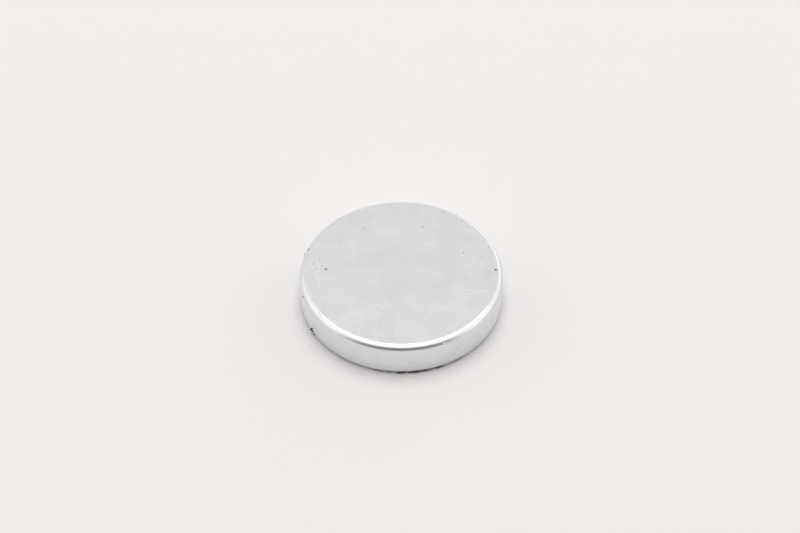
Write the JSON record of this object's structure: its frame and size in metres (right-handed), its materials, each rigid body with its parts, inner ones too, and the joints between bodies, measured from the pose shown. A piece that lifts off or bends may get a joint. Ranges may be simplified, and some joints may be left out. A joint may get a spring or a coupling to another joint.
{
  "type": "disc magnet",
  "caption": "Thin round plated disc magnet with flat pole faces and rounded rims, which holds steel or another magnet through cloth, card or a closure flap.",
  "frame": {"origin": "centre of the lower pole face, on the surface the disc lies on", "axes": "+Z along the disc's own axis, the direction of magnetisation, from the lower to the upper pole face"},
  "size_m": [0.016, 0.016, 0.003],
  "materials": {
    "plating": "bright zinc or nickel plating over a tumbled blank, with fine rubbing marks"
  },
  "bodies": {
    "root": {"magnet_disc": "plating"}
  },
  "joints": []
}
